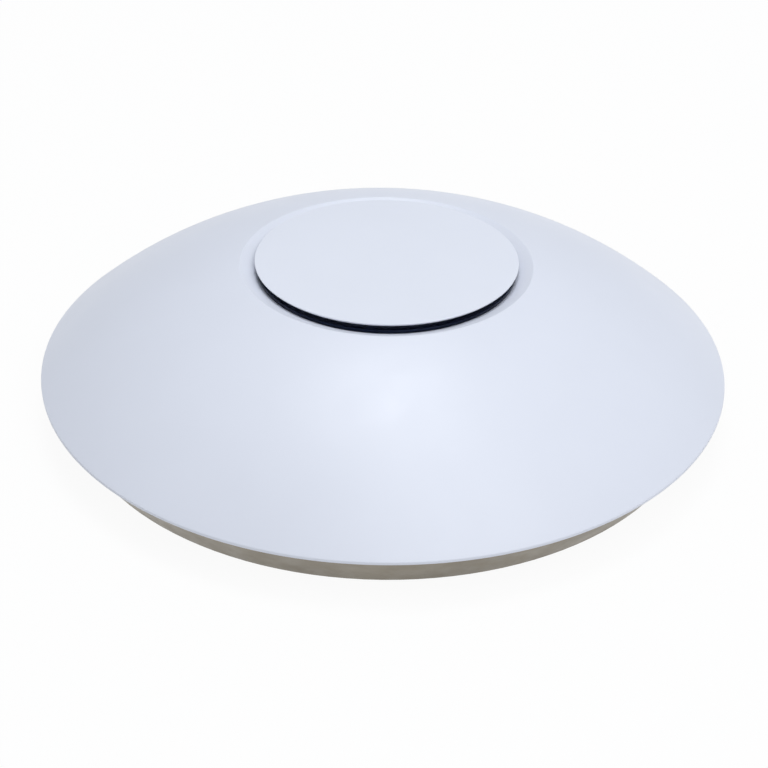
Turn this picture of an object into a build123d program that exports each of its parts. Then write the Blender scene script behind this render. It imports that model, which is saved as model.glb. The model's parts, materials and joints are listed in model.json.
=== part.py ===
from build123d import *
import math
import os

# Ceiling access point, lying on the back of its mounting bracket, face up.
# Origin: centre of the bracket's back face. +Z points out of the domed face. Millimetres.

# ---- driving dimensions: outside form ----
rim_radius = 110.0
rim_z = 13.0                 # lower edge of the dome's rim
rim_foot = 4.5               # width of the rim's flat underside, which rests on the gasket
lip_height = 0.8             # upright edge of the rim
rim_round = 1.2              # radius of the rounding from the lip into the dome
rim_round_room = 0.9         # most of the lip's height that the rounding may take up
total_height = 48.1          # face of the centre disc
disc_proud = 1.2             # height of the disc's face over the crest beside the groove
dome_sagitta = 4.3           # bulge of the dome's arc over its chord
dome_wall = 2.2
groove_radius = 46.3         # crest, where the groove starts
groove_width = 5.7
groove_depth = 2.5
collar_wall = 1.8
collar_depth = 3.6

# ---- centre disc and light ring ----
disc_radius = 41.6
disc_edge = 0.3              # the disc runs out to a thin edge
disc_undercut = 0.5
disc_core_depth = 2.3
ring_show = 1.2              # height of ring seen above the groove
ring_lip = 0.6               # the ring laps this far over the groove's edge
ring_lap_gap = 0.1
ring_width = 3.4
leg_count = 4
leg_radius = 24.5
leg_thick = 1.6
leg_width = 6.0
leg_hook = 1.4
leg_hook_height = 1.2

# ---- base shell ----
shell_back_z = 0.4           # the bracket stands this much proud of the shell
shell_wall = 2.5
rim_overhang = 1.5           # how far the rim stands out past the shell
shell_taper = 7.7
gasket_thick = 0.4
gasket_width = 3.6
gasket_inset = 0.3
seam_height = 1.4            # shadow seam between the shell and the rim
seam_depth = 0.9
flange_width = 5.2
recess_clearance = 6.0       # from the bracket's rim out to the recess wall, crossed by the lugs
recess_depth = 6.2

# ---- bracket and bayonet ----
bracket_radius = 66.0
lug_end_gap = 0.6
bracket_plate = 2.5
bracket_height = 6.0
bracket_rib = 3.0
cable_opening_radius = 38.0
screw_shift = 2.0            # the wall screws lie this far in from the middle of the bracket's ring
screw_count = 3
screw_hole_radius = 2.3
screw_boss_radius = 6.5
screw_boss_height = 4.2
screw_seat_radius = 4.4
screw_seat_depth = 1.6
lug_count = 4
lug_first = 45.0
lug_span = 18.0
lug_height = 2.6
ledge_span = 22.0
ledge_height = 2.6
stop_span = 2.6
twist = 22.0
bayonet_gap = 0.4
stop_gap = 0.6               # degrees
spring_tab_angle = 90.0
spring_tab_span = 16.0
spring_tab_slot = 1.2
spring_nose = 0.9
detent_track_depth = 1.2

# ---- port bay ----
bay_half_width = 11.0
bay_front = -36.0
bay_back = 6.0
bay_top = 29.0
bay_wall = 2.0

# ---- boards and what they carry ----
board_radius = 84.0
board_thick = 1.6
board_z = 13.0
board_gap = 0.6
board_edge_inset = 6.0       # from the board's edge in to its screws
board_screw_angles = (75.0, 135.0, 195.0, 255.0, 345.0)
board_boss_radius = 3.2
m2_radius = 1.0
m2_head_radius = 1.9
m2_head_height = 1.4
m2_length = 8.0
m3_radius = 1.5
m3_head_radius = 3.0
m3_head_height = 1.1
m3_length = 13.0
thread_gap = 0.05            # between a screw's shank and its hole in these solids
case_screw_inset = 8.8       # from the shell's back edge in to the case screws
case_screw_angles = (0.0, 90.0, 180.0, 270.0)
case_boss_radius = 4.0
case_boss_gap = 0.3
can_wall = 0.4
can_height = 4.0
soc_can = (-60.0, -22.0, -30.0, 10.0)
radio_can = (24.0, 58.0, -60.0, -32.0)
chip_height = 1.8
pedestal_height = 3.0
jack_width = 16.0
jack_length = 21.0
jack_height = 13.6
jack_shield = 0.3
jack_fit = 0.1
jack_window_gap = 0.3
socket_width = 11.8
socket_height = 8.2
socket_depth = 12.6
contact_count = 8
contact_pitch = 1.02
contact_thick = 0.35

# ---- reset switch ----
reset_radius = 79.5
reset_angle = 105.0
switch_size = 6.0
switch_height = 4.0
button_radius = 1.5
button_fit = 0.08
button_stand = 1.4
button_in = 1.6
button_travel = 0.3
pinhole_radius = 1.0
guide_wall = 1.4
guide_gap = 1.0

# ---- antennas ----
plate_radius = 74.0
plate_thick = 0.8
plate_bay_gap = 0.4
plate_hole_radius = 22.0
standoff_radius = 66.0
standoff_angles = (15.0, 105.0, 195.0, 285.0)
standoff_outer = 3.0
antenna_angles = (60.0, 150.0, 240.0, 330.0)
antenna_radius = 55.0
antenna_depth = 9.0
antenna_width = 18.0
antenna_height = 5.6
antenna_sheet = 0.5
antenna_leg = 3.0
spacer_radius = 2.5
coax_radius = 46.0
coax_size = 0.6
coax_bend = 6.0
coax_rise = 3.6
coax_hole_gap = 0.8
socket_side = 3.0
socket_rise = 1.8

# ---- light unit ----
carrier_radius = 31.0
carrier_wall = 2.0
carrier_flange_inner = 27.0
carrier_flange_outer = 39.5
carrier_flange = 1.0
carrier_foot = 1.5
carrier_foot_count = 3
carrier_foot_reach = 8.0
carrier_foot_width = 7.0
led_board_inner = 28.0
led_board_outer = 39.0
led_board_thick = 1.0
led_count = 12
led_size = 2.0
led_height = 0.8
led_gap = 0.3
flex_width = 6.0
flex_thick = 0.3
flex_x = 20.0
flex_bend = 2.5
header_x = (26.0, 32.0)
header_height = 4.0

# ---- worked-out levels ----
recess_radius = bracket_radius + recess_clearance
screw_circle = bracket_radius + cable_opening_radius - 2 * screw_shift
shell_top_radius = rim_radius - rim_overhang
shell_back_radius = shell_top_radius - shell_taper
case_screw_radius = shell_back_radius - case_screw_inset
lip_z = rim_z + lip_height
dome_rise = total_height - disc_proud - rim_z
crest_z = rim_z + dome_rise
aperture_radius = groove_radius - groove_width
groove_low_z = crest_z - groove_depth
disc_edge_z = total_height - disc_edge
seam_z = rim_z - gasket_thick - seam_height
gasket_radius = shell_top_radius - seam_depth - gasket_inset
shell_top_z = rim_z - gasket_thick
recess_z = shell_back_z + recess_depth
recess_roof_z = recess_z + shell_wall
shell_floor_z = shell_back_z + shell_wall
board_top_z = board_z + board_thick
board_screw_radius = board_radius - board_edge_inset
tub_top_z = bay_top + bay_wall
plate_z = tub_top_z + plate_bay_gap
plate_top_z = plate_z + plate_thick
ring_outer = aperture_radius - 0.3
ring_inner = ring_outer - ring_width
led_x = ring_inner + ring_width / 2 - 0.6
led_board_top = groove_low_z - collar_depth
led_board_z = led_board_top - led_board_thick
carrier_top_z = led_board_z
ring_z = led_board_top + led_height + led_gap


def polar(radius, degrees):
    return radius * math.cos(math.radians(degrees)), radius * math.sin(math.radians(degrees))


def cyl(radius, low, high, x=0.0, y=0.0):
    return Pos(x, y, low) * Cylinder(radius, high - low, align=(Align.CENTER, Align.CENTER, Align.MIN))


def tube(outer, inner, low, high, x=0.0, y=0.0):
    return cyl(outer, low, high, x, y) - cyl(inner, low - 1, high + 1, x, y)


def block(x0, x1, y0, y1, z0, z1):
    return Pos((x0 + x1) / 2, (y0 + y1) / 2, (z0 + z1) / 2) * Box(x1 - x0, y1 - y0, z1 - z0)


def sector(inner, outer, low, high, middle, span):
    """A block bounded by two arcs, span degrees wide about the middle angle."""
    start = middle - span / 2
    near = CenterArc((0, 0), inner, start, span)
    far = CenterArc((0, 0), outer, start, span)
    face = make_face([near, Line(near @ 1, far @ 1), far, Line(near @ 0, far @ 0)])
    return Pos(0, 0, low) * extrude(face, high - low, dir=(0, 0, 1))


def turned(edges):
    """A solid of revolution about Z from a closed profile of (radius, height) edges."""
    return revolve(Plane.XZ * make_face(edges), Axis.Z)


def screw(x, y, seat, head_radius, head_height, shank_radius, length, down=True):
    """A screw whose head rests on the seat, with a cross-shaped drive."""
    sign = -1 if down else 1
    head_far = seat - sign * head_height
    head = cyl(head_radius, min(seat, head_far), max(seat, head_far), x, y)
    shank = cyl(shank_radius, min(seat, seat + sign * length), max(seat, seat + sign * length), x, y)
    depth = head_height * 0.5
    low = min(head_far, head_far + sign * depth)
    high = max(head_far, head_far + sign * depth)
    slot = head_radius * 0.6
    cross = block(x - slot, x + slot, y - 0.25, y + 0.25, low, high)
    cross += block(x - 0.25, x + 0.25, y - slot, y + slot, low, high)
    return head + shank - cross


def dome_circle():
    """Centre and radius of the dome's outer arc."""
    dr = groove_radius - rim_radius
    dz = crest_z - lip_z
    chord = math.hypot(dr, dz)
    radius = (chord * chord / 4 + dome_sagitta * dome_sagitta) / (2 * dome_sagitta)
    back = radius - dome_sagitta
    centre_r = (rim_radius + groove_radius) / 2 - back * dz / chord
    centre_z = (lip_z + crest_z) / 2 + back * dr / chord
    return centre_r, centre_z, radius


def dome_height(r, offset=0.0):
    """Height of the dome's surface at a radius, or of one parallel to it, offset inwards."""
    centre_r, centre_z, radius = dome_circle()
    return centre_z + math.sqrt((radius - offset) ** 2 - (r - centre_r) ** 2)


def dome_arc(r0, r1, offset=0.0):
    mid = (r0 + r1) / 2
    points = [(r, dome_height(r, offset)) for r in (r0, mid, r1)]
    return ThreePointArc(*points)


def dome_cover():
    """White moulded dome: arc, shallow conical groove, and a collar round the aperture."""
    outer = dome_arc(rim_radius, groove_radius)
    foot_radius = rim_radius - rim_foot
    inner = dome_arc(foot_radius, groove_radius + collar_wall, dome_wall)
    collar_radius = aperture_radius + collar_wall
    collar_low = groove_low_z - collar_depth
    cone_drop = dome_wall + (groove_radius + collar_wall - collar_radius) * groove_depth / groove_width
    rest = Polyline(outer @ 1, (aperture_radius, groove_low_z), (aperture_radius, collar_low),
                    (collar_radius, collar_low), (collar_radius, (inner @ 1).Y - cone_drop + dome_wall),
                    inner @ 1)
    lip = Polyline(inner @ 0, (foot_radius, rim_z), (rim_radius, rim_z), outer @ 0)
    cover = turned(outer.edges() + rest.edges() + inner.edges() + lip.edges())
    edge = cover.edges().filter_by(GeomType.CIRCLE).filter_by(
        lambda e: abs(e.radius - rim_radius) < 0.01 and abs(e.center().Z - lip_z) < 0.01)
    turn = math.radians(Vector(0, 1).get_angle(outer % 0))
    cover = fillet(edge, min(rim_round, lip_height * rim_round_room / math.tan(turn / 2)))
    fill_edge = dome_arc(rim_radius - dome_wall, groove_radius, dome_wall / 2)
    fill_rest = Polyline(fill_edge @ 1, (0, crest_z), (0, 0), (rim_radius - dome_wall, 0), fill_edge @ 0)
    fill = turned(fill_edge.edges() + fill_rest.edges())
    low = shell_floor_z + case_boss_gap
    for angle in case_screw_angles:
        x, y = polar(case_screw_radius, angle)
        cover += cyl(case_boss_radius, low, crest_z, x, y) & fill
        cover -= cyl(m3_radius + thread_gap, low - 1, low + m3_length, x, y)
    return cover


def centre_disc():
    core_z = total_height - disc_core_depth
    core = ring_inner - 0.2
    ledge_z = disc_edge_z - disc_undercut
    profile = Polyline((0, core_z), (core, core_z), (core, ledge_z), (disc_radius - disc_undercut, ledge_z),
                       (disc_radius, disc_edge_z), (disc_radius, total_height), (0, total_height),
                       (0, core_z))
    disc = turned(profile.edges())
    disc = chamfer(disc.edges().group_by(Axis.Z)[-1], disc_edge / 2)
    foot = carrier_top_z - carrier_flange - 0.3 - leg_hook_height
    leg = block(leg_radius, leg_radius + leg_thick, -leg_width / 2, leg_width / 2, foot, core_z)
    hook_end = leg_radius + leg_thick + leg_hook
    leg += block(leg_radius, hook_end, -leg_width / 2, leg_width / 2, foot, foot + leg_hook_height)
    for i in range(leg_count):
        disc += Rot(0, 0, 45 + i * 360 / leg_count) * leg
    return disc


def light_ring():
    """Smoked ring in the aperture: its lip laps over the groove, in the shadow of the disc."""
    lip = ring_outer + ring_lip
    slope = groove_depth / groove_width
    lap_z = groove_low_z + (lip - aperture_radius) * slope + ring_lap_gap
    top_z = groove_low_z + ring_show
    profile = Polyline((ring_inner, ring_z), (ring_outer, ring_z), (ring_outer, groove_low_z + ring_lap_gap),
                       (lip, lap_z), (lip, top_z), (ring_inner, top_z), (ring_inner, ring_z))
    return turned(profile.edges())


def rim_gasket():
    return tube(gasket_radius, gasket_radius - gasket_width, shell_top_z, rim_z)


def shell_blank():
    """Cast tray: tapered side, back with a round recess, and a flange for the rim."""
    flange_inner = shell_top_radius - flange_width
    taper = (shell_top_radius - shell_back_radius) / (shell_top_z - shell_back_z)
    floor_radius = shell_back_radius - shell_wall + taper * shell_wall
    wall_r = flange_inner - 0.6
    step_z = seam_z - shell_wall
    seam_radius = shell_top_radius - taper * (shell_top_z - seam_z)
    profile = Polyline((0, recess_z), (recess_radius, recess_z), (recess_radius, shell_back_z),
                       (shell_back_radius, shell_back_z), (seam_radius, seam_z),
                       (shell_top_radius - seam_depth, seam_z), (shell_top_radius - seam_depth, shell_top_z),
                       (flange_inner, shell_top_z), (wall_r, step_z), (floor_radius, shell_floor_z),
                       (recess_radius + shell_wall, shell_floor_z),
                       (recess_radius + shell_wall, recess_roof_z), (0, recess_roof_z), (0, recess_z))
    return turned(profile.edges())


def bayonet_ledges():
    """Four ledges with end stops, seen from the turning head."""
    parts = []
    inner = bracket_radius + bayonet_gap * 2
    half = lug_span / 2 + stop_gap + stop_span / 2
    for i in range(lug_count):
        middle = lug_first + i * 360 / lug_count
        parts.append(sector(inner, recess_radius + 0.5, shell_back_z, shell_back_z + ledge_height,
                            middle, ledge_span))
        parts.append(sector(inner, recess_radius + 0.5, shell_back_z, recess_z + 0.5,
                            middle + half, stop_span))
        parts.append(sector(inner, recess_radius + 0.5, shell_back_z, recess_z + 0.5,
                            middle - twist - half, stop_span))
    return parts


def base_shell():
    shell = shell_blank()
    for ledge in bayonet_ledges():
        shell += ledge
    shell -= sector(recess_radius - 1, recess_radius + detent_track_depth, bracket_plate,
                    recess_z, spring_tab_angle - twist / 2, twist + spring_tab_span)
    shell += block(-bay_half_width - bay_wall, bay_half_width + bay_wall, bay_front - bay_wall,
                   bay_back + bay_wall, recess_z, tub_top_z)
    shell -= block(-bay_half_width, bay_half_width, bay_front, bay_back, recess_z - 1, bay_top)
    window = jack_width / 2 + jack_window_gap
    shell -= block(-window, window, bay_back - 1, bay_back + bay_wall + 1, board_z - board_gap,
                   board_top_z + jack_height + jack_window_gap)
    for angle in board_screw_angles:
        x, y = polar(board_screw_radius, angle)
        shell += cyl(board_boss_radius, shell_floor_z - 0.5, board_z, x, y)
        shell -= cyl(m2_radius + thread_gap, board_top_z - m2_length - 0.5, board_z + 1, x, y)
    for x0, x1, y0, y1 in pedestals():
        shell += block(x0, x1, y0, y1, recess_roof_z - 0.5, recess_roof_z + pedestal_height)
    for angle in case_screw_angles:
        x, y = polar(case_screw_radius, angle)
        shell -= cyl(m3_radius + 0.2, shell_back_z - 1, shell_floor_z + 1, x, y)
        shell -= cyl(m3_head_radius + 0.3, shell_back_z - 1, shell_back_z + m3_head_height + 0.2, x, y)
    x, y = polar(reset_radius, reset_angle)
    guide_top = board_z - switch_height - button_stand - guide_gap
    shell += cyl(pinhole_radius + guide_wall, shell_floor_z - 0.5, guide_top, x, y)
    shell -= cyl(pinhole_radius, shell_back_z - 1, guide_top + 1, x, y)
    shell -= label_sector(0.0, shell_back_z - 1)
    return shell


def label_sector(gap, low):
    return sector(78.0 + gap, 90.0 - gap, low, shell_back_z + 0.3, 225.0, 34.0 - gap)


def label_plate():
    return label_sector(0.2, shell_back_z)


def pedestals():
    """Raised pads of the shell under the two hot chips: x0, x1, y0, y1."""
    return (-52.0, -32.0, -20.0, 0.0), (30.0, 48.0, -54.0, -38.0)


def thermal_pads():
    low = recess_roof_z + pedestal_height
    return [block(x0 + 1, x1 - 1, y0 + 1, y1 - 1, low, board_z) for x0, x1, y0, y1 in pedestals()]


def mounting_bracket():
    bracket = tube(bracket_radius, cable_opening_radius, 0, bracket_plate)
    bracket += tube(bracket_radius, bracket_radius - bracket_rib, 0, bracket_height)
    bracket += tube(cable_opening_radius + bracket_rib, cable_opening_radius, 0, bracket_height - 1)
    inner = cable_opening_radius + 1
    for i in range(12):
        rib = block(inner, bracket_radius - 1, -0.8, 0.8, 0, bracket_height - 2)
        bracket += Rot(0, 0, 15 + i * 30) * rib
    for i in range(lug_count):
        middle = lug_first + i * 360 / lug_count
        bracket += sector(bracket_radius - 1, recess_radius - lug_end_gap, bracket_height - lug_height,
                          bracket_height, middle, lug_span)
    for i in range(screw_count):
        x, y = polar(screw_circle / 2, 90 + i * 360 / screw_count)
        bracket += cyl(screw_boss_radius, 0, screw_boss_height, x, y)
        seat = screw_boss_height - screw_seat_depth
        bracket -= cyl(screw_hole_radius, -1, seat + 1, x, y)
        bracket -= cyl(screw_seat_radius, seat, bracket_height, x, y)
    return spring_tab(bracket)


def spring_tab(bracket):
    """Frees a strip of the rim as a spring tab with a nose that clicks round in the shell."""
    inner = bracket_radius - bracket_rib
    bracket -= sector(inner - spring_tab_slot, inner, -1, bracket_height + 1,
                      spring_tab_angle, spring_tab_span)
    bracket -= sector(inner - 0.5, bracket_radius + 1, -1, bracket_height + 1,
                      spring_tab_angle - spring_tab_span / 2, 1.5)
    bracket += sector(bracket_radius - 1, bracket_radius + spring_nose, bracket_plate + 1,
                      bracket_height, spring_tab_angle - spring_tab_span / 2 + 2.5, 3.0)
    return bracket


def main_board():
    board = cyl(board_radius, board_z, board_top_z)
    gap = bay_wall + board_gap
    board -= block(-bay_half_width - gap, bay_half_width + gap, bay_front - gap, bay_back + gap,
                   board_z - 1, board_top_z + 1)
    for angle in board_screw_angles:
        x, y = polar(board_screw_radius, angle)
        board -= cyl(m2_radius + 0.2, board_z - 1, board_top_z + 1, x, y)
    return board


def board_screws():
    return [screw(*polar(board_screw_radius, a), board_top_z, m2_head_radius, m2_head_height,
                  m2_radius, m2_length) for a in board_screw_angles]


def case_screws():
    seat = shell_back_z + m3_head_height + 0.2
    return [screw(*polar(case_screw_radius, a), seat, m3_head_radius, m3_head_height,
                  m3_radius, m3_length, down=False) for a in case_screw_angles]


def jack_box(inset, front):
    return block(-jack_width / 2 + inset, jack_width / 2 - inset, front,
                 bay_back + jack_length - inset, board_top_z + inset, board_top_z + jack_height - inset)


def jack_cavity(grow=0.0):
    """The plug's socket: a tall slot with a narrower latch slot below it."""
    middle = board_top_z + jack_height / 2 + 1
    low = middle - socket_height / 2
    high = middle + socket_height / 2
    cavity = block(-socket_width / 2, socket_width / 2, bay_back - 1, bay_back + socket_depth, low, high)
    cavity += block(-3.2 - grow, 3.2 + grow, bay_back - 1, bay_back + 8, low - 1.6, low + 0.5)
    return cavity


def ethernet_jack_shield():
    shield = jack_box(0, bay_back)
    shield -= jack_box(jack_shield, bay_back - 1)
    return shield


def ethernet_jack_body():
    inset = jack_shield + jack_fit
    return jack_box(inset, bay_back + 0.2) - jack_cavity()


def jack_contacts():
    top = board_top_z + jack_height / 2 + 1 + socket_height / 2
    bars = []
    for i in range(contact_count):
        x = (i - (contact_count - 1) / 2) * contact_pitch
        bar = block(x - contact_thick / 2, x + contact_thick / 2, bay_back + 3,
                    bay_back + socket_depth, top - contact_thick, top)
        bar += block(x - contact_thick / 2, x + contact_thick / 2, bay_back + socket_depth - contact_thick,
                     bay_back + socket_depth, top - 3, top)
        bars.append(bar)
    return bars


def chip(cx, cy, width, length, height=chip_height):
    body = block(cx - width / 2, cx + width / 2, cy - length / 2, cy + length / 2,
                 board_top_z, board_top_z + height)
    return chamfer(body.edges().group_by(Axis.Z)[-1], 0.3)


def shield_can(area):
    """Tinned sheet cover, open underneath, with rows of vent holes in its lid."""
    x0, x1, y0, y1 = area
    top = board_top_z + can_height
    can = block(x0, x1, y0, y1, board_top_z, top)
    can = fillet(can.edges().filter_by(Axis.Z), 1.2)
    can -= block(x0 + can_wall, x1 - can_wall, y0 + can_wall, y1 - can_wall,
                 board_top_z - 1, top - can_wall)
    for i in range(5):
        for j in range(2):
            x = x0 + (x1 - x0) * (i + 1) / 6
            y = y0 + 4 if j else y1 - 4
            can -= cyl(0.8, top - 1, top + 1, x, y)
    return can


def can_centre(area):
    return (area[0] + area[1]) / 2, (area[2] + area[3]) / 2


def filter_capacitors():
    spots = (36.0, 56.0), (48.0, 42.0), (18.0, 62.0)
    return [fillet(cyl(5.0, board_top_z, board_top_z + 14, x, y).edges().group_by(Axis.Z)[-1], 0.6)
            for x, y in spots]


def power_inductors():
    return [chip(x, y, 10.0, 10.0, 5.0) for x, y in ((62.0, -6.0), (66.0, 34.0))]


def poe_transformer():
    core = chip(46.0, 6.0, 16.0, 16.0, 11.0)
    top = board_top_z + 11.0
    return core + block(40, 52, -1, 13, top - 0.5, top + 1.5)


def reset_switch():
    x, y = polar(reset_radius, reset_angle)
    half = switch_size / 2
    low = board_z - switch_height
    body = block(x - half, x + half, y - half, y + half, low, board_z)
    return body - cyl(button_radius + button_fit, low - 1, low + button_in + button_travel + 0.3, x, y)


def reset_button():
    x, y = polar(reset_radius, reset_angle)
    low = board_z - switch_height
    button = cyl(button_radius, low - button_stand, low + button_in, x, y)
    return chamfer(button.edges().group_by(Axis.Z)[0], 0.2)


def standoffs():
    posts = []
    for angle in standoff_angles:
        x, y = polar(standoff_radius, angle)
        post = Pos(x, y, board_top_z) * extrude(RegularPolygon(standoff_outer, 6), plate_z - board_top_z)
        posts.append(post - cyl(m2_radius + thread_gap, plate_top_z - m2_length - 0.5, plate_z + 1, x, y))
    return posts


def antenna_ground_plate():
    plate = tube(plate_radius, plate_hole_radius, plate_z, plate_top_z)
    for angle in standoff_angles:
        plate -= cyl(m2_radius + 0.2, plate_z - 1, plate_top_z + 1, *polar(standoff_radius, angle))
    for angle in antenna_angles:
        plate -= cyl(coax_size + coax_hole_gap, plate_z - 1, plate_top_z + 1, *polar(coax_radius, angle))
    for x, y in carrier_screw_spots():
        plate -= cyl(m2_radius + thread_gap, plate_z - 1, plate_top_z + 1, x, y)
    return plate


def plate_screws():
    return [screw(*polar(standoff_radius, a), plate_top_z, m2_head_radius, m2_head_height,
                  m2_radius, m2_length) for a in standoff_angles]


def antenna(angle):
    """Stamped radiator on two legs, with the feed on the middle leg."""
    top = plate_top_z + antenna_height
    r0 = antenna_radius
    half = antenna_width / 2
    blade = block(r0, r0 + antenna_depth, -half, half, top - antenna_sheet, top)
    blade -= block(r0 + 3, r0 + 4.2, -half - 1, half - 4, top - 1, top + 1)
    blade += block(r0, r0 + antenna_sheet, -1.5, 1.5, plate_top_z + 1.6, top)
    blade += block(r0, r0 + antenna_sheet, half - antenna_leg, half, plate_top_z, top)
    blade += block(r0, r0 + antenna_leg, half - antenna_leg, half, plate_top_z, plate_top_z + antenna_sheet)
    return Rot(0, 0, angle) * blade


def antenna_spacers():
    top = plate_top_z + antenna_height - antenna_sheet
    return [cyl(spacer_radius, plate_top_z, top, *polar(antenna_radius + antenna_depth - 2, a))
            for a in antenna_angles]


def coax_sockets():
    half = socket_side / 2
    blocks = []
    for angle in antenna_angles:
        x, y = polar(coax_radius, angle)
        blocks.append(block(x - half, x + half, y - half, y + half, board_top_z, board_top_z + socket_rise))
    return blocks


def coax(angle):
    """Feed cable: straight up through the plate, then out to the antenna's feed leg."""
    start = board_top_z + socket_rise
    bend_z = plate_top_z + coax_rise
    points = [(coax_radius, 0, start), (coax_radius, 0, bend_z), (antenna_radius, 0, bend_z)]
    path = FilletPolyline(*points, radius=coax_bend)
    cable = sweep(Pos(*points[0]) * Circle(coax_size), path=path)
    return Rot(0, 0, angle) * cable


def carrier_screw_spots():
    reach = carrier_radius + carrier_wall + carrier_foot_reach - 3.5
    return [polar(reach, 30 + i * 360 / carrier_foot_count) for i in range(carrier_foot_count)]


def led_carrier():
    """Drum that lifts the light unit off the plate, with three screwed feet."""
    outer = carrier_radius + carrier_wall
    carrier = tube(outer, carrier_radius, plate_top_z, carrier_top_z)
    carrier += tube(carrier_flange_outer, carrier_flange_inner, carrier_top_z - carrier_flange, carrier_top_z)
    for i in range(carrier_foot_count):
        foot = block(outer - 0.5, outer + carrier_foot_reach, -carrier_foot_width / 2,
                     carrier_foot_width / 2, plate_top_z, plate_top_z + carrier_foot)
        carrier += Rot(0, 0, 30 + i * 360 / carrier_foot_count) * foot
    for x, y in carrier_screw_spots():
        carrier -= cyl(m2_radius + 0.2, plate_top_z - 1, plate_top_z + 3, x, y)
    return carrier


def carrier_screws():
    return [screw(x, y, plate_top_z + carrier_foot, m2_head_radius, m2_head_height, m2_radius,
                  carrier_foot + plate_thick) for x, y in carrier_screw_spots()]


def led_board():
    return tube(led_board_outer, led_board_inner, led_board_z, led_board_top)


def leds():
    half = led_size / 2
    lamp = block(led_x - half, led_x + half, -half, half, led_board_top, led_board_top + led_height)
    return [Rot(0, 0, 15 + i * 360 / led_count) * lamp for i in range(led_count)]


def led_cable():
    """Flat flex from the light board down through the plate to its header."""
    top = led_board_top + flex_thick / 2
    low = board_top_z + header_height / 2
    points = [(led_board_inner + 4, 0, top), (flex_x, 0, top), (flex_x, 0, low), (header_x[0], 0, low)]
    path = FilletPolyline(*points, radius=flex_bend)
    section = Plane(origin=points[0], x_dir=(0, 1, 0), z_dir=(-1, 0, 0)) * Rectangle(flex_width, flex_thick)
    return sweep(section, path=path)


def led_header():
    return block(*header_x, -flex_width / 2 - 1, flex_width / 2 + 1, board_top_z, board_top_z + header_height)


def save(name, shape):
    """One STEP file for each node; a list becomes a group of separate solids."""
    solids = shape if isinstance(shape, list) else [shape]
    group = [solid for item in solids for solid in item.solids()]
    export_step(Compound(children=group) if len(group) > 1 else group[0], f"parts/{name}.step")


def nodes():
    soc_x, soc_y = can_centre(soc_can)
    radio_x, radio_y = can_centre(radio_can)
    pad_low = board_top_z + chip_height
    pad_high = board_top_z + can_height - can_wall
    parts = {
        "mounting_bracket": mounting_bracket(), "base_shell": base_shell(),
        "dome_cover": dome_cover(), "centre_disc": centre_disc(), "light_ring": light_ring(),
        "rim_gasket": rim_gasket(), "label_plate": label_plate(), "case_screws": case_screws(),
        "main_board": main_board(), "board_screws": board_screws(),
        "ethernet_jack_shield": ethernet_jack_shield(), "ethernet_jack_body": ethernet_jack_body(),
        "jack_contacts": jack_contacts(), "lan_magnetics": chip(0, 38, 16, 14, 6),
        "poe_transformer": poe_transformer(), "filter_capacitors": filter_capacitors(),
        "power_inductors": power_inductors(), "soc_shield_can": shield_can(soc_can),
        "radio_shield_can": shield_can(radio_can), "main_processor": chip(soc_x, soc_y, 16, 16),
        "memory_chips": [chip(soc_x + 14, soc_y + dy, 8, 12, 1.0) for dy in (-8, 8)],
        "radio_chip": chip(radio_x, radio_y, 12, 12),
        "lid_pads": [block(x - 5, x + 5, y - 5, y + 5, pad_low, pad_high)
                     for x, y in ((soc_x, soc_y), (radio_x, radio_y))],
        "thermal_pads": thermal_pads(), "reset_switch": reset_switch(), "reset_button": reset_button(),
        "standoffs": standoffs(), "antenna_ground_plate": antenna_ground_plate(),
        "plate_screws": plate_screws(), "antenna_spacers": antenna_spacers(),
        "coax_sockets": coax_sockets(), "led_carrier": led_carrier(),
        "carrier_screws": carrier_screws(), "led_board": led_board(), "leds": leds(),
        "led_cable": led_cable(), "led_header": led_header(),
    }
    for number, angle in enumerate(antenna_angles, 1):
        parts[f"antenna_{number}"] = antenna(angle)
        parts[f"coax_{number}"] = coax(angle)
    return parts


os.makedirs("parts", exist_ok=True)
for node_name, node_shape in nodes().items():
    save(node_name, node_shape)
    print(node_name, round(sum(s.volume for s in (node_shape if isinstance(node_shape, list)
                                                  else [node_shape])), 1))
print("bends: coax", coax_bend, "flex", flex_bend)
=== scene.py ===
import json
import math

import bmesh
import bpy
from mathutils import Matrix, Vector


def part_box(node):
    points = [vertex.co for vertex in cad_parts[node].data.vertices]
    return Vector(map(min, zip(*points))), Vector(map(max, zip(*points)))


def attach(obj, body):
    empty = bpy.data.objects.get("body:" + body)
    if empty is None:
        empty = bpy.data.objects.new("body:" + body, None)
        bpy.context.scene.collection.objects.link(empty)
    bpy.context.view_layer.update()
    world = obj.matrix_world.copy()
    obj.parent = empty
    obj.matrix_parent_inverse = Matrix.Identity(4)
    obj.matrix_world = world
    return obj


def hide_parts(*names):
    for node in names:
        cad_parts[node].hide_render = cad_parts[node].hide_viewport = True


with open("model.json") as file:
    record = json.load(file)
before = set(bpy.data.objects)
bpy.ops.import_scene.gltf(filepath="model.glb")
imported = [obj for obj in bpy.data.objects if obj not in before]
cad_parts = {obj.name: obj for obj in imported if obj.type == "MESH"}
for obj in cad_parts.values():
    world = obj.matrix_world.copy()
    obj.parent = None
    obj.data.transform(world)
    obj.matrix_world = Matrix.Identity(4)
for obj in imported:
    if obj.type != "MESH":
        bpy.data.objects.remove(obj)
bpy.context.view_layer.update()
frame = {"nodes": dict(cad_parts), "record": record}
MM = 0.001

# ---- sizes read from the frame ----
RIM_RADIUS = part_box("dome_cover")[1][0]
RIM_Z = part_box("rim_gasket")[1][2]
FACE_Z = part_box("centre_disc")[1][2]
DISC_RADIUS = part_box("centre_disc")[1][0]
RING_LOW_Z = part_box("light_ring")[0][2]
SCREW_LOW_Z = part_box("case_screws")[0][2]
SCREW_HIGH_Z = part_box("case_screws")[1][2]
SCREW_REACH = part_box("case_screws")[1][0]

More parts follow.
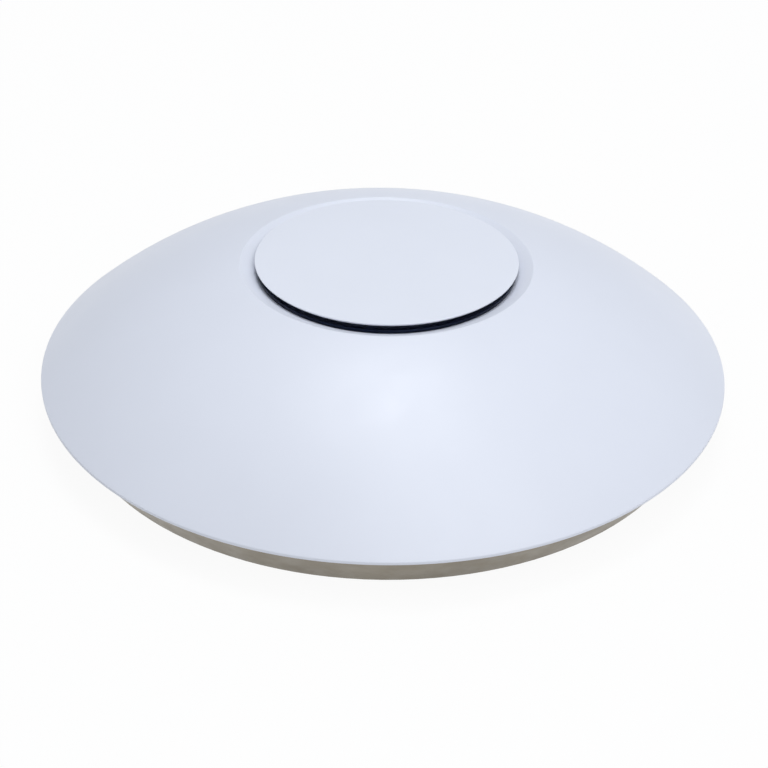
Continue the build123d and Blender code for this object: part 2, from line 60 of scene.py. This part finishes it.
# ---- dome cover ----
LIP = 0.8 * MM                    # upright edge of the rim
TOE_ROUND = 0.12 * MM             # under the lip
RIM_ROLL = 0.30 * MM              # the rounding from the lip into the dome
ROLL_CLEAR = 0.2 * MM             # the dome's arc takes over this far above the roll
RIM_FOOT = 4.5 * MM               # width of the rim's flat underside
WALL = 2.2 * MM
CREST_RADIUS = 46.3 * MM
CREST_RISE = 33.9 * MM
SAGITTA = 4.3 * MM                # rise of the dome's arc over its chord
CREST_ROUND = 0.6 * MM
GROOVE_WIDTH = 5.7 * MM
GROOVE_DEPTH = 2.5 * MM
GROOVE_ROUND = 0.4 * MM
COLLAR_WALL = 1.8 * MM
COLLAR_DEPTH = 3.6 * MM
COLLAR_ROOT = 1.6 * MM            # from the groove's low edge down to the collar's root inside

# ---- centre disc and light ring ----
DISC_EDGE = 0.3 * MM
DISC_UNDERCUT = 0.5 * MM
DISC_CORE = 2.3 * MM
DISC_ROUND = 0.2 * MM
DISC_LOW_ROUND = 0.06 * MM
CORE_GAP = 0.2 * MM
LEG_CUT = 0.02 * MM               # from the disc's core down to the capped tops of its clip legs
RING_SHOW = 1.2 * MM
RING_LAP_GAP = 0.1 * MM
RING_GAP = 0.3 * MM
RING_WIDTH = 3.4 * MM
RING_LOW_ROUND = 0.2 * MM
RING_LAP_ROUND = 0.08 * MM
RING_LIP_ROUND = 0.15 * MM
RING_TOP_ROUND = 0.1 * MM

# ---- case screws and their bosses ----
CASE_SCREW_SIDES = ((1, 0), (0, 1), (-1, 0), (0, -1))
HEAD_RADIUS = 3.0 * MM
HEAD_HEIGHT = 1.1 * MM
HEAD_SIDES = 40
HEAD_TAPER = 0.82                 # of the head's radius, at its face
ARM_LENGTH = 1.25                 # of the head's radius
ARM_WIDTH = 0.26                  # of the head's radius
ARM_DEPTH = 1.1                   # of the head's height, half of it outside the head
SHANK_RADIUS = 1.5 * MM
SHANK_SIDES = 24
BOSS_RADIUS = 4.0 * MM
BOSS_GAP = 0.3 * MM
BOSS_STEPS = 40
SHELL_WALL = 2.5 * MM
SCREW_CIRCLE = SCREW_REACH - HEAD_RADIUS

# ---- meshing ----
TURN_STEPS = 288
ARC_STEPS = 48
TURNED_CREASE = 32.0              # degrees
SCREW_CREASE = 25.0
COPY_CREASE = 28.0
FLAT_WITHIN = 0.1                 # triangles within this many degrees are one flat face
TURN_MERGE = 1e-7                 # metres, as are the rest
TURN_SLIVER = 1e-8
UNION_MERGE = 1e-6
COPY_MERGE = 2e-6
SLIVER = 1e-7

# ---- stage ----
FLOOR_RADIUS = 6.0
FLOOR_DROP = 0.5 * MM
FLOOR_WHITE = 0.94
SKY_STRENGTH = 0.36


# ------------------------------------------------------------ node helpers
def new_material(name):
    material = bpy.data.materials.new(name)
    material.use_nodes = True
    tree = material.node_tree
    shader = next(n for n in tree.nodes if n.type == "BSDF_PRINCIPLED")
    return material, tree, shader


def link(tree, source, target):
    tree.links.new(source, target)


NOISE_ROUGHNESS = 0.55
NOISE_LOW, NOISE_HIGH = 0.3, 0.7   # where most of a noise's values lie


def noise(tree, scale, detail=4.0):
    """Noise read at the surface's own place on the object."""
    place = tree.nodes.new("ShaderNodeTexCoord")
    texture = tree.nodes.new("ShaderNodeTexNoise")
    texture.inputs["Scale"].default_value = scale
    texture.inputs["Detail"].default_value = detail
    texture.inputs["Roughness"].default_value = NOISE_ROUGHNESS
    link(tree, place.outputs["Object"], texture.inputs["Vector"])
    return texture


def spread(tree, source, low, high):
    """Maps a noise's usual values onto low to high."""
    mapping = tree.nodes.new("ShaderNodeMapRange")
    mapping.inputs["From Min"].default_value = NOISE_LOW
    mapping.inputs["From Max"].default_value = NOISE_HIGH
    mapping.inputs["To Min"].default_value = low
    mapping.inputs["To Max"].default_value = high
    link(tree, source, mapping.inputs["Value"])
    return mapping.outputs["Result"]


def mottle(tree, shader, colour, amount, scale):
    """Slow drift of the colour by a small share of itself."""
    drift = noise(tree, scale, detail=3.0)
    mix = tree.nodes.new("ShaderNodeMix")
    mix.data_type = "RGBA"
    mix.inputs["A"].default_value = (*[c * (1 - amount) for c in colour], 1)
    mix.inputs["B"].default_value = (*[min(c * (1 + amount), 1) for c in colour], 1)
    link(tree, spread(tree, drift.outputs["Fac"], 0.0, 1.0), mix.inputs["Factor"])
    link(tree, mix.outputs["Result"], shader.inputs["Base Color"])


def grain(tree, shader, scale, height):
    """Fine surface relief; height in metres."""
    texture = noise(tree, scale, detail=3.0)
    bump = tree.nodes.new("ShaderNodeBump")
    bump.inputs["Strength"].default_value = 1.0
    bump.inputs["Distance"].default_value = height
    link(tree, texture.outputs["Fac"], bump.inputs["Height"])
    link(tree, bump.outputs["Normal"], shader.inputs["Normal"])


def satin(name, colour, rough, metallic=0.0, drift=0.03, drift_scale=18.0,
          grain_scale=2600.0, grain_height=4e-6, rough_drift=0.04, coat=0.0):
    """A moulded, painted or cast finish: drifting colour and roughness over a fine grain."""
    material, tree, shader = new_material(name)
    shader.inputs["Metallic"].default_value = metallic
    shader.inputs["Coat Weight"].default_value = coat
    mottle(tree, shader, colour, drift, drift_scale)
    wear = noise(tree, drift_scale * 5)
    link(tree, spread(tree, wear.outputs["Fac"], rough - rough_drift, rough + rough_drift),
         shader.inputs["Roughness"])
    grain(tree, shader, grain_scale, grain_height)
    return material


def smoked_plastic():
    material = satin("smoked_ring", (0.003, 0.005, 0.016), 0.12, drift=0.1, grain_scale=900.0,
                     grain_height=1e-6, rough_drift=0.03, coat=0.1)
    shader = next(n for n in material.node_tree.nodes if n.type == "BSDF_PRINCIPLED")
    shader.inputs["Specular Tint"].default_value = (0.40, 0.55, 1.0, 1)
    shader.inputs["Specular IOR Level"].default_value = 0.35
    shader.inputs["Transmission Weight"].default_value = 0.25
    shader.inputs["IOR"].default_value = 1.5
    return material


def materials():
    white = (0.755, 0.785, 0.870)
    return {
        "dome_white": satin("dome_white", white, 0.42, drift=0.012, grain_scale=1500.0, grain_height=5e-6),
        "disc_white": satin("disc_white", (0.775, 0.805, 0.885), 0.42, drift=0.010,
                            grain_scale=1700.0, grain_height=4e-6),
        "smoked_ring": smoked_plastic(),
        "cast_base": satin("cast_base", (0.205, 0.174, 0.124), 0.40, metallic=0.45, drift=0.10,
                           drift_scale=32.0, grain_scale=1100.0, grain_height=1.6e-5, rough_drift=0.07),
        "gasket_rubber": satin("gasket_rubber", (0.02, 0.02, 0.022), 0.75, drift=0.15),
        "bracket_plastic": satin("bracket_plastic", (0.56, 0.57, 0.59), 0.52, drift=0.03,
                                 grain_scale=900.0, grain_height=1.2e-5),
        "label_white": satin("label_white", (0.74, 0.74, 0.72), 0.30, grain_height=1e-6),
        "screw_steel": satin("screw_steel", (0.52, 0.52, 0.50), 0.28, metallic=1.0, drift=0.08,
                             drift_scale=240.0, grain_height=2e-6),
        "board_green": satin("board_green", (0.010, 0.085, 0.035), 0.32, drift=0.15, drift_scale=90.0,
                             coat=0.3),
        "board_white": satin("board_white", (0.72, 0.72, 0.70), 0.35, drift=0.03),
        "tinned_sheet": satin("tinned_sheet", (0.60, 0.60, 0.57), 0.30, metallic=1.0, drift=0.06,
                              drift_scale=120.0, rough_drift=0.09),
        "black_plastic": satin("black_plastic", (0.018, 0.018, 0.019), 0.45, drift=0.12,
                               grain_height=8e-6),
        "gold_contact": satin("gold_contact", (0.78, 0.53, 0.16), 0.22, metallic=1.0, drift=0.05),
        "capacitor_sleeve": satin("capacitor_sleeve", (0.015, 0.020, 0.055), 0.22, drift=0.08, coat=0.3),
        "ferrite": satin("ferrite", (0.06, 0.06, 0.065), 0.65, drift=0.15, grain_height=2e-5),
        "thermal_pad": satin("thermal_pad", (0.22, 0.28, 0.40), 0.70, drift=0.06, grain_height=2e-5),
        "button_plastic": satin("button_plastic", (0.60, 0.57, 0.50), 0.45),
        "plate_aluminium": satin("plate_aluminium", (0.66, 0.67, 0.68), 0.33, metallic=1.0, drift=0.04,
                                 drift_scale=60.0, rough_drift=0.08),
        "white_plastic": satin("white_plastic", (0.70, 0.70, 0.67), 0.48, drift=0.03),
        "led_lens": satin("led_lens", (0.80, 0.72, 0.30), 0.18, coat=0.5),
        "flex_film": satin("flex_film", (0.38, 0.14, 0.02), 0.22, drift=0.08, coat=0.3),
        "coax_jacket": satin("coax_jacket", (0.02, 0.02, 0.02), 0.38, drift=0.10),
    }


# ------------------------------------------------------------ turned pieces
def corner(before, point, after, radius, steps=6):
    """Points of an arc that rounds a corner of a profile."""
    before, point, after = Vector(before), Vector(point), Vector(after)
    a = (before - point).normalized()
    b = (after - point).normalized()
    half = a.angle(b) / 2
    reach = min(radius / math.tan(half), (before - point).length * 0.5, (after - point).length * 0.5)
    return blend(point + a * reach, point, point + b * reach, steps)


def blend(start, control, end, steps):
    """Points of a smooth curve from start to end that leaves and arrives towards the control point."""
    points = []
    for i in range(steps + 1):
        t = i / steps
        points.append(start * (1 - t) ** 2 + control * 2 * t * (1 - t) + end * t ** 2)
    return points


def rounded(points, radii):
    """A closed profile with each corner rounded by its own radius; 0 keeps it sharp."""
    out = []
    count = len(points)
    for i, (point, radius) in enumerate(zip(points, radii)):
        if radius:
            out += corner(points[i - 1], point, points[(i + 1) % count], radius)
        else:
            out.append(Vector(point))
    return out


def arc_centre(start, end, sagitta):
    """Centre of the arc from start to end that bulges upwards by the sagitta."""
    chord = end - start
    radius = (chord.length ** 2 / 4 + sagitta ** 2) / (2 * sagitta)
    outward = Vector((-chord.y, chord.x)).normalized()
    if outward.y < 0:
        outward = -outward
    return (start + end) / 2 - outward * (radius - sagitta)


def arc(centre, start, end):
    """Points from start to end about a centre."""
    first = start - centre
    sweep = first.angle_signed(end - centre)
    return [centre + Matrix.Rotation(-sweep * i / ARC_STEPS, 2) @ first for i in range(ARC_STEPS + 1)]


def turned(name, profile, material):
    """A closed profile of (radius, height) turned about Z."""
    mesh = bpy.data.meshes.new(name)
    bm = bmesh.new()
    rings = []
    for i in range(TURN_STEPS):
        angle = 2 * math.pi * i / TURN_STEPS
        ring = [bm.verts.new((p[0] * math.cos(angle), p[0] * math.sin(angle), p[1])) for p in profile]
        rings.append(ring)
    count = len(profile)
    for i in range(TURN_STEPS):
        here, there = rings[i], rings[(i + 1) % TURN_STEPS]
        for j in range(count):
            k = (j + 1) % count
            bm.faces.new((here[j], there[j], there[k], here[k]))
    bmesh.ops.remove_doubles(bm, verts=bm.verts, dist=TURN_MERGE)
    bmesh.ops.dissolve_degenerate(bm, edges=bm.edges, dist=TURN_SLIVER)
    bmesh.ops.recalc_face_normals(bm, faces=bm.faces)
    bm.to_mesh(mesh)
    bm.free()
    return finished(name, mesh, material, TURNED_CREASE)


def creased(mesh, sharp_degrees):
    """Smooth shading up to a crease angle."""
    mesh.shade_smooth()
    mesh.set_sharp_from_angle(angle=math.radians(sharp_degrees))


def finished(name, mesh, material, sharp_degrees):
    """Wraps a mesh in an object with its material and its shading."""
    mesh.materials.clear()
    mesh.materials.append(material)
    creased(mesh, sharp_degrees)
    piece = bpy.data.objects.new(name, mesh)
    bpy.context.scene.collection.objects.link(piece)
    return piece


LIP_TOP = Vector((RIM_RADIUS, RIM_Z + LIP))
CREST = Vector((CREST_RADIUS, RIM_Z + CREST_RISE))
DOME_CENTRE = arc_centre(LIP_TOP, CREST, SAGITTA)
DOME_CURVE = (LIP_TOP - DOME_CENTRE).length


def dome_point(radius, inset=0.0):
    """The point of the dome's surface at a radius, or of one parallel to it, inset into the wall."""
    across = radius - DOME_CENTRE.x
    return Vector((radius, DOME_CENTRE.y + math.sqrt((DOME_CURVE - inset) ** 2 - across ** 2)))


def dome_profile():
    """The cover's section: rim, dome, crest, groove and collar outside, then the wall's inner side."""
    low = (CREST_RADIUS - GROOVE_WIDTH, CREST.y - GROOVE_DEPTH)
    collar_low = low[1] - COLLAR_DEPTH
    outer = arc(DOME_CENTRE, LIP_TOP, CREST)
    foot = Vector((RIM_RADIUS - RIM_FOOT, RIM_Z))
    inner = arc(DOME_CENTRE, dome_point(foot.x, WALL), dome_point(CREST_RADIUS + COLLAR_WALL, WALL))
    toe = Vector((RIM_RADIUS, RIM_Z))
    profile = [foot]
    profile += corner(foot, toe, LIP_TOP, TOE_ROUND, steps=3)
    along = (outer[1] - outer[0]).normalized()
    roll = blend(LIP_TOP - Vector((0, RIM_ROLL)), LIP_TOP, LIP_TOP + along * RIM_ROLL, 8)
    profile += roll
    profile += [p for p in outer[1:-1] if p.y > roll[-1].y + ROLL_CLEAR]
    profile += corner(outer[-2], CREST, low, CREST_ROUND)
    profile += corner(CREST, low, (low[0], collar_low), GROOVE_ROUND)
    profile += [Vector((low[0], collar_low)), Vector((low[0] + COLLAR_WALL, collar_low))]
    profile.append(Vector((low[0] + COLLAR_WALL, low[1] - COLLAR_ROOT)))
    profile += inner[::-1]
    return profile


def case_boss(x, y, low):
    """A tube for one case screw, whose top ends inside the dome's wall all round."""
    bm = bmesh.new()
    rings = []
    outline = ((SHANK_RADIUS, False), (BOSS_RADIUS, False), (BOSS_RADIUS, True), (SHANK_RADIUS, True))
    for radius, top in outline:
        ring = []
        for i in range(BOSS_STEPS):
            angle = 2 * math.pi * i / BOSS_STEPS
            px, py = x + radius * math.cos(angle), y + radius * math.sin(angle)
            height = dome_point(math.hypot(px, py), WALL / 2).y if top else low
            ring.append(bm.verts.new((px, py, height)))
        rings.append(ring)
    for ring, after in zip(rings, rings[1:] + rings[:1]):
        for i in range(BOSS_STEPS):
            k = (i + 1) % BOSS_STEPS
            bm.faces.new((ring[i], ring[k], after[k], after[i]))
    bmesh.ops.recalc_face_normals(bm, faces=bm.faces)
    mesh = bpy.data.meshes.new("case_boss")
    bm.to_mesh(mesh)
    bm.free()
    boss = bpy.data.objects.new("case_boss", mesh)
    bpy.context.scene.collection.objects.link(boss)
    return boss


def united(piece, others):
    """The piece with the others melted into it, as one plain mesh."""
    for other in others:
        join = piece.modifiers.new("join", "BOOLEAN")
        join.operation = "UNION"
        join.solver = "EXACT"
        join.object = other
    mesh = bpy.data.meshes.new_from_object(piece.evaluated_get(bpy.context.evaluated_depsgraph_get()))
    piece.modifiers.clear()
    bm = bmesh.new()
    bm.from_mesh(mesh)
    bmesh.ops.remove_doubles(bm, verts=bm.verts, dist=UNION_MERGE)
    bmesh.ops.dissolve_degenerate(bm, edges=bm.edges, dist=SLIVER)
    bm.to_mesh(mesh)
    bm.free()
    creased(mesh, TURNED_CREASE)
    piece.data = mesh
    for other in others:
        bpy.data.objects.remove(other)
    return piece


def dome(material):
    """The turned cover with a boss inside for each case screw."""
    cover = turned("dome", dome_profile(), material)
    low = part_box("base_shell")[0][2] + SHELL_WALL + BOSS_GAP
    return united(cover, [case_boss(SCREW_CIRCLE * x, SCREW_CIRCLE * y, low) for x, y in CASE_SCREW_SIDES])


def clip_legs(node, below):
    """A bmesh of what a frame piece has below a height, capped there."""
    bm = bmesh.new()
    bm.from_mesh(frame["nodes"][node].data)
    bmesh.ops.remove_doubles(bm, verts=bm.verts, dist=COPY_MERGE)
    cut = bmesh.ops.bisect_plane(bm, geom=bm.verts[:] + bm.edges[:] + bm.faces[:], plane_co=(0, 0, below),
                                 plane_no=(0, 0, 1), clear_outer=True)
    edges = [e for e in cut["geom_cut"] if isinstance(e, bmesh.types.BMEdge)]
    bmesh.ops.holes_fill(bm, edges=edges)
    bmesh.ops.recalc_face_normals(bm, faces=bm.faces)
    return bm


def face_disc(material):
    """The turned disc with the four clip legs under it."""
    bm = clip_legs("centre_disc", FACE_Z - DISC_CORE - LEG_CUT)
    plate = turned("face_disc", disc_profile(), material)
    bm.from_mesh(plate.data)
    bm.to_mesh(plate.data)
    bm.free()
    creased(plate.data, TURNED_CREASE)
    return plate


def disc_profile():
    core = CREST_RADIUS - GROOVE_WIDTH - RING_GAP - RING_WIDTH - CORE_GAP
    edge = FACE_Z - DISC_EDGE
    deep = FACE_Z - DISC_CORE
    points = [(0, deep), (core, deep), (core, edge - DISC_UNDERCUT),
              (DISC_RADIUS - DISC_UNDERCUT, edge - DISC_UNDERCUT), (DISC_RADIUS, edge),
              (DISC_RADIUS, FACE_Z), (0, FACE_Z)]
    return rounded(points, [0, DISC_ROUND, 0, 0, DISC_LOW_ROUND, DISC_ROUND, 0])


def ring_profile():
    outer = CREST_RADIUS - GROOVE_WIDTH - RING_GAP
    inner = outer - RING_WIDTH
    low_z = CREST.y - GROOVE_DEPTH
    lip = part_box("light_ring")[1][0]
    lap_z = low_z + (lip - outer - RING_GAP) * GROOVE_DEPTH / GROOVE_WIDTH + RING_LAP_GAP
    top = low_z + RING_SHOW
    points = [(inner, RING_LOW_Z), (outer, RING_LOW_Z), (outer, low_z + RING_LAP_GAP), (lip, lap_z),
              (lip, top), (inner, top)]
    return rounded(points, [RING_LOW_ROUND, RING_LOW_ROUND, 0, RING_LAP_ROUND, RING_LIP_ROUND,
                            RING_TOP_ROUND])


# ------------------------------------------------------------ copies of frame pieces
def levelled(piece):
    """Shades each shared corner by its largest face, so that flat faces beside fillets stay plain."""
    weigh = piece.modifiers.new("level", "WEIGHTED_NORMAL")
    weigh.mode = "FACE_AREA"
    weigh.weight = 100
    weigh.keep_sharp = True
    mesh = bpy.data.meshes.new_from_object(piece.evaluated_get(bpy.context.evaluated_depsgraph_get()))
    piece.modifiers.clear()
    piece.data = mesh
    return piece


def dressed(node, name, material):
    """A merged, smooth-shaded copy of a frame piece, which stands for it."""
    mesh = frame["nodes"][node].data.copy()
    mesh.name = name
    mesh.transform(frame["nodes"][node].matrix_world)
    bm = bmesh.new()
    bm.from_mesh(mesh)
    bmesh.ops.remove_doubles(bm, verts=bm.verts, dist=COPY_MERGE)
    bmesh.ops.dissolve_degenerate(bm, edges=bm.edges, dist=SLIVER)
    bmesh.ops.recalc_face_normals(bm, faces=bm.faces)
    bmesh.ops.dissolve_limit(bm, verts=[], edges=bm.edges, angle_limit=math.radians(FLAT_WITHIN))
    bm.to_mesh(mesh)
    bm.free()
    return levelled(finished(name, mesh, material, COPY_CREASE))


# ------------------------------------------------------------ screws by geometry nodes
def screw_circle_tree():
    """Cross-head screws standing on a circle, heads down."""
    tree = bpy.data.node_groups.new("screw_circle", "GeometryNodeTree")
    sockets = tree.interface
    sizes = {"Count": "NodeSocketInt", "Circle": "NodeSocketFloat", "Seat": "NodeSocketFloat",
             "Head Radius": "NodeSocketFloat", "Head Height": "NodeSocketFloat",
             "Shank Radius": "NodeSocketFloat", "Shank Length": "NodeSocketFloat",
             "Finish": "NodeSocketMaterial"}
    ids = {n: sockets.new_socket(n, in_out="INPUT", socket_type=t).identifier for n, t in sizes.items()}
    sockets.new_socket("Geometry", in_out="OUTPUT", socket_type="NodeSocketGeometry")
    given = tree.nodes.new("NodeGroupInput").outputs

    def add(kind, **values):
        node = tree.nodes.new(kind)
        for key, value in values.items():
            setattr(node, key, value)
        return node

    def maths(operation, a, b):
        node = add("ShaderNodeMath", operation=operation)
        for socket, value in zip(node.inputs, (a, b)):
            if isinstance(value, (int, float)):
                socket.default_value = value
            else:
                link(tree, value, socket)
        return node.outputs[0]

    def moved(mesh, z):
        lift = add("GeometryNodeTransform")
        offset = add("ShaderNodeCombineXYZ")
        link(tree, z, offset.inputs["Z"])
        link(tree, mesh, lift.inputs["Geometry"])
        link(tree, offset.outputs[0], lift.inputs["Translation"])
        return lift.outputs[0]

    head = add("GeometryNodeMeshCone")
    head.inputs["Vertices"].default_value = HEAD_SIDES
    link(tree, given["Head Radius"], head.inputs["Radius Top"])
    link(tree, maths("MULTIPLY", given["Head Radius"], HEAD_TAPER), head.inputs["Radius Bottom"])
    link(tree, given["Head Height"], head.inputs["Depth"])
    recessed = head.outputs["Mesh"]
    for long_side, short_side in (("X", "Y"), ("Y", "X")):
        arm = add("GeometryNodeMeshCube")
        size = add("ShaderNodeCombineXYZ")
        link(tree, maths("MULTIPLY", given["Head Radius"], ARM_LENGTH), size.inputs[long_side])
        link(tree, maths("MULTIPLY", given["Head Radius"], ARM_WIDTH), size.inputs[short_side])
        link(tree, maths("MULTIPLY", given["Head Height"], ARM_DEPTH), size.inputs["Z"])
        link(tree, size.outputs[0], arm.inputs["Size"])
        cut = add("GeometryNodeMeshBoolean", operation="DIFFERENCE", solver="EXACT")
        link(tree, recessed, cut.inputs[0])
        link(tree, arm.outputs["Mesh"], cut.inputs[1])
        recessed = cut.outputs["Mesh"]
    shank = add("GeometryNodeMeshCylinder")
    shank.inputs["Vertices"].default_value = SHANK_SIDES
    link(tree, given["Shank Radius"], shank.inputs["Radius"])
    link(tree, given["Shank Length"], shank.inputs["Depth"])
    rise = maths("ADD", given["Head Height"], maths("MULTIPLY", given["Shank Length"], 0.5))
    both = add("GeometryNodeJoinGeometry")
    link(tree, recessed, both.inputs[0])
    link(tree, moved(shank.outputs["Mesh"], rise), both.inputs[0])
    spots = add("GeometryNodeMeshCircle")
    link(tree, given["Count"], spots.inputs["Vertices"])
    link(tree, given["Circle"], spots.inputs["Radius"])
    copies = add("GeometryNodeInstanceOnPoints")
    link(tree, moved(spots.outputs["Mesh"], given["Seat"]), copies.inputs["Points"])
    link(tree, both.outputs[0], copies.inputs["Instance"])
    real = add("GeometryNodeRealizeInstances")
    link(tree, copies.outputs[0], real.inputs[0])
    paint = add("GeometryNodeSetMaterial")
    link(tree, real.outputs[0], paint.inputs["Geometry"])
    link(tree, given["Finish"], paint.inputs["Material"])
    link(tree, paint.outputs[0], add("NodeGroupOutput").inputs[0])
    return tree, ids


def case_screws(material):
    """The screws as one plain mesh, made by the tree on an empty carrier."""
    tree, ids = screw_circle_tree()
    carrier = bpy.data.objects.new("screw_carrier", bpy.data.meshes.new("screw_carrier"))
    bpy.context.scene.collection.objects.link(carrier)
    modifier = carrier.modifiers.new("screws", "NODES")
    modifier.node_group = tree
    values = {"Count": len(CASE_SCREW_SIDES), "Circle": SCREW_CIRCLE, "Seat": SCREW_LOW_Z,
              "Head Radius": HEAD_RADIUS, "Head Height": HEAD_HEIGHT, "Shank Radius": SHANK_RADIUS,
              "Shank Length": SCREW_HIGH_Z - SCREW_LOW_Z - HEAD_HEIGHT, "Finish": material}
    for name, value in values.items():
        modifier[ids[name]] = value
    evaluated = carrier.evaluated_get(bpy.context.evaluated_depsgraph_get())
    mesh = bpy.data.meshes.new_from_object(evaluated)
    bpy.data.objects.remove(carrier)
    return finished("case_screw_set", mesh, material, SCREW_CREASE)


# ------------------------------------------------------------ the object
def finish_frame_pieces(made):
    """Every carried-over piece gets the finish of its slot."""
    for entry in frame["record"]["subparts"]:
        piece = frame["nodes"][entry["node"]]
        material = made[entry["material_slot"]]
        if not piece.material_slots:
            piece.data.materials.append(material)
        for place in piece.material_slots:
            place.material = material


def stand_for(piece, node, body="head"):
    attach(piece, body)
    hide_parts(node)


def build_object(made):
    finish_frame_pieces(made)
    stand_for(dome(made["dome_white"]), "dome_cover")
    stand_for(face_disc(made["disc_white"]), "centre_disc")
    stand_for(turned("glow_ring", ring_profile(), made["smoked_ring"]), "light_ring")
    stand_for(dressed("base_shell", "base_tray", made["cast_base"]), "base_shell")
    stand_for(dressed("mounting_bracket", "ceiling_bracket", made["bracket_plastic"]),
              "mounting_bracket", body="bracket")
    stand_for(dressed("rim_gasket", "rim_seal", made["gasket_rubber"]), "rim_gasket")
    stand_for(case_screws(made["screw_steel"]), "case_screws")


# ------------------------------------------------------------ stage, light and camera
def seen_white(tree, share):
    """A value of share where the camera, a reflection or a refraction looks, else 0."""
    path = tree.nodes.new("ShaderNodeLightPath")
    total = None
    for ray in ("Is Camera Ray", "Is Glossy Ray", "Is Transmission Ray"):
        if total is None:
            total = path.outputs[ray]
            continue
        join = tree.nodes.new("ShaderNodeMath")
        join.operation = "MAXIMUM"
        link(tree, total, join.inputs[0])
        link(tree, path.outputs[ray], join.inputs[1])
        total = join.outputs[0]
    scale = tree.nodes.new("ShaderNodeMath")
    scale.operation = "MULTIPLY"
    scale.inputs[1].default_value = share
    link(tree, total, scale.inputs[0])
    return scale.outputs[0]


def floor_material():
    """Pale matt floor that reads white but keeps a soft shadow."""
    material, tree, shader = new_material("pale_floor")
    shader.inputs["Base Color"].default_value = (0.86, 0.86, 0.86, 1)
    shader.inputs["Roughness"].default_value = 0.9
    shader.inputs["Specular IOR Level"].default_value = 0.1
    glow = tree.nodes.new("ShaderNodeEmission")
    mix = tree.nodes.new("ShaderNodeMixShader")
    out = next(n for n in tree.nodes if n.type == "OUTPUT_MATERIAL")
    link(tree, seen_white(tree, FLOOR_WHITE), mix.inputs[0])
    link(tree, shader.outputs[0], mix.inputs[1])
    link(tree, glow.outputs[0], mix.inputs[2])
    link(tree, mix.outputs[0], out.inputs["Surface"])
    return material


def build_stage():
    bm = bmesh.new()
    bmesh.ops.create_circle(bm, cap_ends=True, segments=96, radius=FLOOR_RADIUS)
    mesh = bpy.data.meshes.new("floor")
    bm.to_mesh(mesh)
    bm.free()
    mesh.transform(Matrix.Translation((0, 0, -FLOOR_DROP)))
    mesh.materials.append(floor_material())
    floor = bpy.data.objects.new("floor", mesh)
    bpy.context.scene.collection.objects.link(floor)


def build_world():
    world = bpy.data.worlds.new("studio")
    bpy.context.scene.world = world
    world.use_nodes = True
    tree = world.node_tree
    soft = next(n for n in tree.nodes if n.type == "BACKGROUND")
    soft.inputs["Color"].default_value = (0.93, 0.96, 1.0, 1)
    soft.inputs["Strength"].default_value = SKY_STRENGTH
    white = tree.nodes.new("ShaderNodeBackground")
    white.inputs["Color"].default_value = (1, 1, 1, 1)
    white.inputs["Strength"].default_value = 1.0
    mix = tree.nodes.new("ShaderNodeMixShader")
    out = next(n for n in tree.nodes if n.type == "OUTPUT_WORLD")
    path = tree.nodes.new("ShaderNodeLightPath")
    link(tree, path.outputs["Is Camera Ray"], mix.inputs[0])
    link(tree, soft.outputs[0], mix.inputs[1])
    link(tree, white.outputs[0], mix.inputs[2])
    link(tree, mix.outputs[0], out.inputs["Surface"])


def area_light(name, place, target, size, power, colour):
    lamp = bpy.data.lights.new(name, "AREA")
    lamp.shape = "DISK"
    lamp.size = size
    lamp.energy = power
    lamp.color = colour
    holder = bpy.data.objects.new(name, lamp)
    holder.location = place
    holder.rotation_euler = (Vector(target) - Vector(place)).to_track_quat("-Z", "Y").to_euler()
    bpy.context.scene.collection.objects.link(holder)


def build_lights():
    middle = (0, 0, RIM_Z)
    area_light("key", (0.60, -0.75, 1.65), middle, 1.6, 14.5, (0.97, 0.98, 1.0))
    area_light("top", (0.0, 0.3, 1.9), middle, 0.8, 14.0, (0.95, 0.97, 1.0))


CAMERA_LENS = 75.0                # millimetres, as is the sensor
CAMERA_SENSOR = 36.0
CAMERA_NEAR = 0.01
CAMERA_DISTANCE = 447.64 * MM
CAMERA_HEIGHT = 272.65 * MM       # above the rim's lower edge
CAMERA_PITCH = math.radians(32.41)
CAMERA_YAW = math.radians(2.227)
CAMERA_ROLL = math.radians(2.053)
CAMERA_SHIFT = -0.07              # the object stands a little right of the lens's axis


def build_camera():
    camera = bpy.data.cameras.new("camera")
    camera.lens = CAMERA_LENS
    camera.sensor_width = CAMERA_SENSOR
    camera.shift_x = CAMERA_SHIFT
    camera.clip_start = CAMERA_NEAR
    holder = bpy.data.objects.new("camera", camera)
    forward = Vector((math.sin(CAMERA_YAW) * math.cos(CAMERA_PITCH),
                      math.cos(CAMERA_YAW) * math.cos(CAMERA_PITCH), -math.sin(CAMERA_PITCH)))
    right = Vector((math.cos(CAMERA_YAW), -math.sin(CAMERA_YAW), 0))
    up = right.cross(forward)
    rolled_right = right * math.cos(CAMERA_ROLL) + up * math.sin(CAMERA_ROLL)
    rolled_up = up * math.cos(CAMERA_ROLL) - right * math.sin(CAMERA_ROLL)
    turn = Matrix((rolled_right, rolled_up, -forward)).transposed().to_4x4()
    holder.matrix_world = Matrix.Translation((0, -CAMERA_DISTANCE, RIM_Z + CAMERA_HEIGHT)) @ turn
    bpy.context.scene.collection.objects.link(holder)
    bpy.context.scene.camera = holder


build_object(materials())
build_stage()
build_world()
build_lights()
build_camera()
bpy.context.scene.view_settings.view_transform = "Standard"
bpy.context.view_layer.update()
